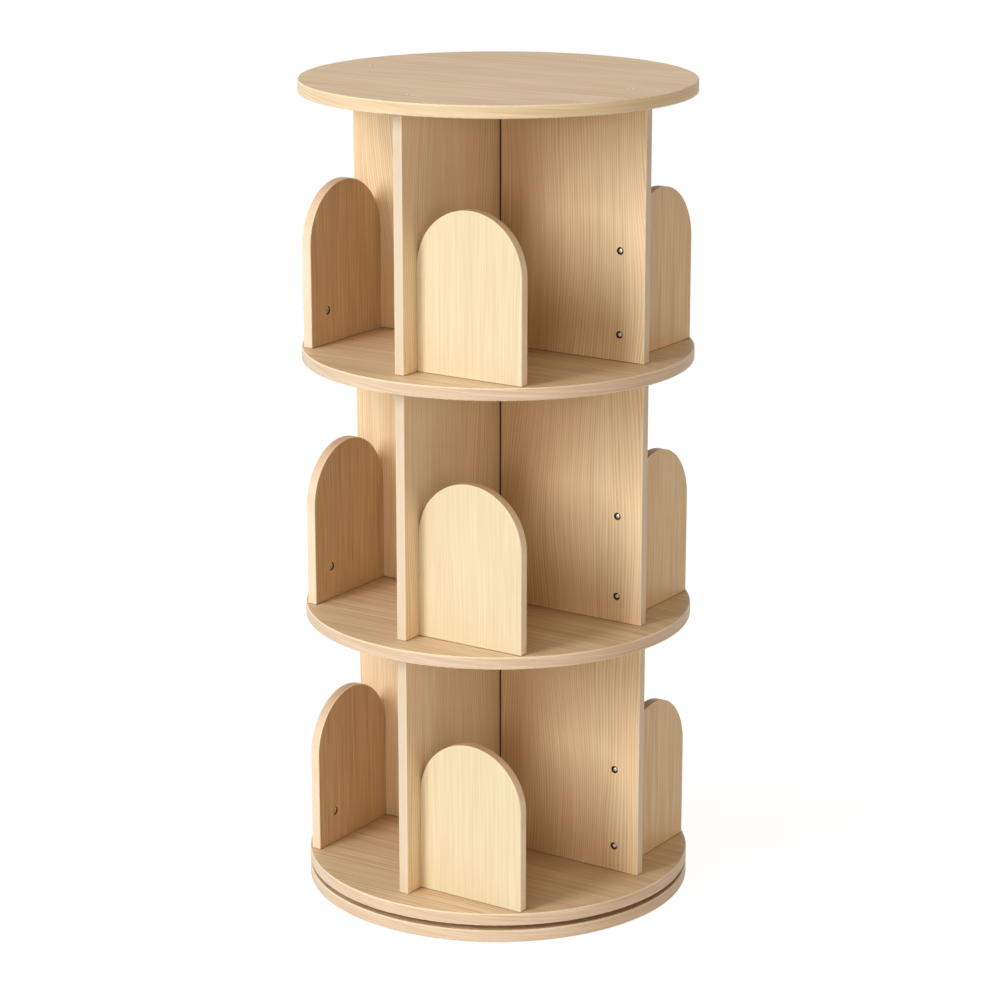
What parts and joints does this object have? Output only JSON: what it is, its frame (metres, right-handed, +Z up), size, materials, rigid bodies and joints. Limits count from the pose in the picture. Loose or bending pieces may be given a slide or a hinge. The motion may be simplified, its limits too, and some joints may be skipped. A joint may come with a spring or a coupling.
{
  "type": "revolving bookcase",
  "caption": "Floor-standing revolving bookcase: round shelves on crossed dividers with arched book stops, turning on a ring ball bearing over a fixed base disc.",
  "frame": {"origin": "centre of the floor print, on the turning axis, at the underside of the foot pads", "axes": "+Z up along the turning axis; +X and -Y along two of the divider arms, so the front compartment lies between +X and -Y"},
  "size_m": [0.46, 0.46, 0.9735],
  "materials": {
    "disc_wood": "satin veneer",
    "divider_wood": "satin veneer",
    "arch_wood": "satin veneer",
    "dowel_wood": "satin veneer",
    "ring_aluminium": "brushed",
    "screw_steel": "bright zinc",
    "cam_zinc": "die-cast zinc",
    "ball_steel": "polished",
    "cage_plastic": "moulded",
    "pad_rubber": "foam"
  },
  "bodies": {
    "base": {"base_disc": "disc_wood", "foot_pads": "pad_rubber", "bearing_outer_ring": "ring_aluminium", "outer_ring_screws": "screw_steel"},
    "cage": {"ball_cage": "cage_plastic", "bearing_balls": "ball_steel"},
    "carousel": {"bearing_inner_ring": "ring_aluminium", "inner_ring_screws": "screw_steel", "bottom_shelf": "disc_wood", "second_shelf": "disc_wood", "third_shelf": "disc_wood", "top_board": "disc_wood", "bottom_shelf_screws": "screw_steel", "lower_divider_left_right": "divider_wood", "lower_divider_front_back": "divider_wood", "middle_divider_left_right": "divider_wood", "middle_divider_front_back": "divider_wood", "upper_divider_left_right": "divider_wood", "upper_divider_front_back": "divider_wood", "lower_arch_front": "arch_wood", "lower_arch_right": "arch_wood", "lower_arch_back": "arch_wood", "lower_arch_left": "arch_wood", "middle_arch_front": "arch_wood", "middle_arch_right": "arch_wood", "middle_arch_back": "arch_wood", "middle_arch_left": "arch_wood", "upper_arch_front": "arch_wood", "upper_arch_right": "arch_wood", "upper_arch_back": "arch_wood", "upper_arch_left": "arch_wood", "lower_arch_screws": "screw_steel", "middle_arch_screws": "screw_steel", "upper_arch_screws": "screw_steel", "lower_cam_locks": "cam_zinc", "middle_cam_locks": "cam_zinc", "upper_cam_locks": "cam_zinc", "lower_cam_bolts": "screw_steel", "middle_cam_bolts": "screw_steel", "upper_cam_bolts": "screw_steel", "lower_dowels": "dowel_wood", "middle_dowels": "dowel_wood", "upper_dowels": "dowel_wood", "lower_divider_screws": "screw_steel", "middle_divider_screws": "screw_steel", "upper_divider_screws": "screw_steel"}
  },
  "joints": [
    {"name": "carousel_spin", "type": "hinge", "parent": "base", "child": "carousel", "pos_m": [0, 0, 0.0225], "axis": [0, 0, 1], "continuous": true},
    {"name": "cage_spin", "type": "hinge", "parent": "base", "child": "cage", "pos_m": [0, 0, 0.017], "axis": [0, 0, 1], "continuous": true}
  ],
  "couplings": [
    {"joint": "cage_spin", "follows": "carousel_spin", "ratio": 0.4933}
  ]
}
